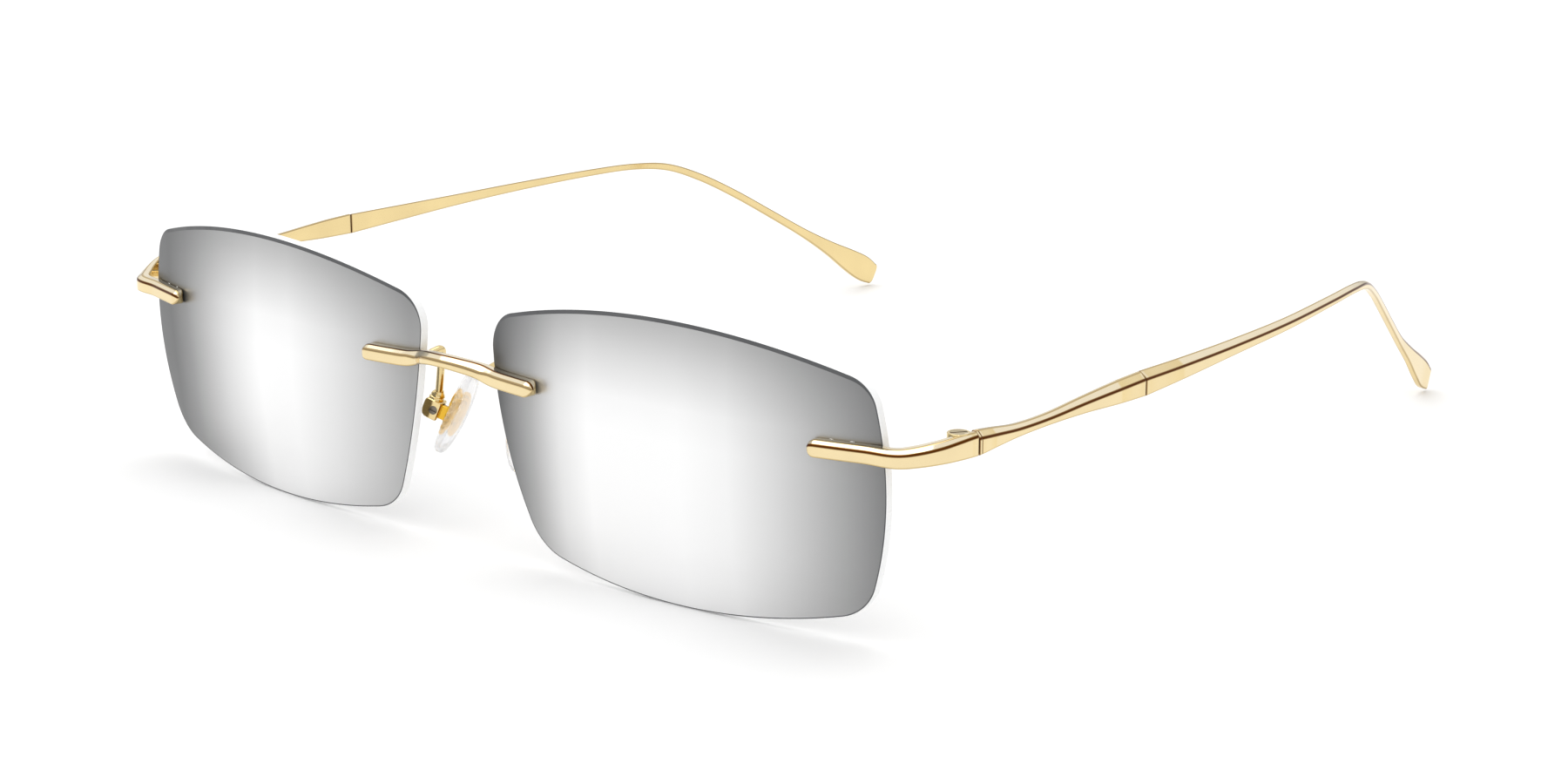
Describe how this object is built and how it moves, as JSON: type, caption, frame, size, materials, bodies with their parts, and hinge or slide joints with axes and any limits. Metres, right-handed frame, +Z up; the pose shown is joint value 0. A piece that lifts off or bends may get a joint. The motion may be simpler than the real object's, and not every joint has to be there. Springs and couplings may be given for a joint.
{
  "type": "rimless eyeglasses",
  "caption": "Rimless eyeglasses: mirrored lenses pinned to a metal bridge and endpieces, soft nose pads on bent arms, and hinged metal temples that fold inward.",
  "frame": {"origin": "centre of the width and depth, on the surface that the lens bottoms and temple tips rest on", "axes": "+X to the wearer's left, -Y to the front, +Y back along the temples, +Z up"},
  "size_m": [0.1438, 0.1532, 0.0359],
  "materials": {
    "frame_metal": "polished champagne-gold plating",
    "lens_mirror": "silver mirror coating on tinted plastic",
    "clear_plug": "clear moulded plastic",
    "pad_silicone": "clear soft silicone",
    "insert_metal": "polished gold plating",
    "screw_metal": "polished gold plating",
    "washer_plastic": "natural nylon"
  },
  "bodies": {
    "frame": {"bridge": "frame_metal", "lens_left": "lens_mirror", "lens_plugs_left": "clear_plug", "endpiece_left": "frame_metal", "pad_arm_left": "frame_metal", "pad_box_left": "frame_metal", "pad_screw_left": "screw_metal", "hinge_screw_left": "screw_metal", "hinge_washers_left": "washer_plastic", "lens_right": "lens_mirror", "lens_plugs_right": "clear_plug", "endpiece_right": "frame_metal", "pad_arm_right": "frame_metal", "pad_box_right": "frame_metal", "pad_screw_right": "screw_metal", "hinge_screw_right": "screw_metal", "hinge_washers_right": "washer_plastic"},
    "temple_left": {"temple_front_left": "frame_metal", "temple_rear_left": "frame_metal"},
    "pad_left": {"nose_pad_left": "pad_silicone", "pad_insert_left": "insert_metal"},
    "temple_right": {"temple_front_right": "frame_metal", "temple_rear_right": "frame_metal"},
    "pad_right": {"nose_pad_right": "pad_silicone", "pad_insert_right": "insert_metal"}
  },
  "joints": [
    {"name": "temple_left_fold", "type": "hinge", "parent": "frame", "child": "temple_left", "pos_m": [0.07, -0.06188, 0.0246], "axis": [0, 0, 1], "range_deg": [0, 83]},
    {"name": "pad_left_rock", "type": "hinge", "parent": "frame", "child": "pad_left", "pos_m": [0.0086, -0.06868, 0.0161], "axis": [0.4459, 0.8918, -0.0771], "range_deg": [-8, 8]},
    {"name": "temple_right_fold", "type": "hinge", "parent": "frame", "child": "temple_right", "pos_m": [-0.07, -0.06188, 0.0246], "axis": [0, 0, -1], "range_deg": [0, 74]},
    {"name": "pad_right_rock", "type": "hinge", "parent": "frame", "child": "pad_right", "pos_m": [-0.0086, -0.06868, 0.0161], "axis": [0.4459, -0.8918, 0.0771], "range_deg": [-8, 8]}
  ]
}
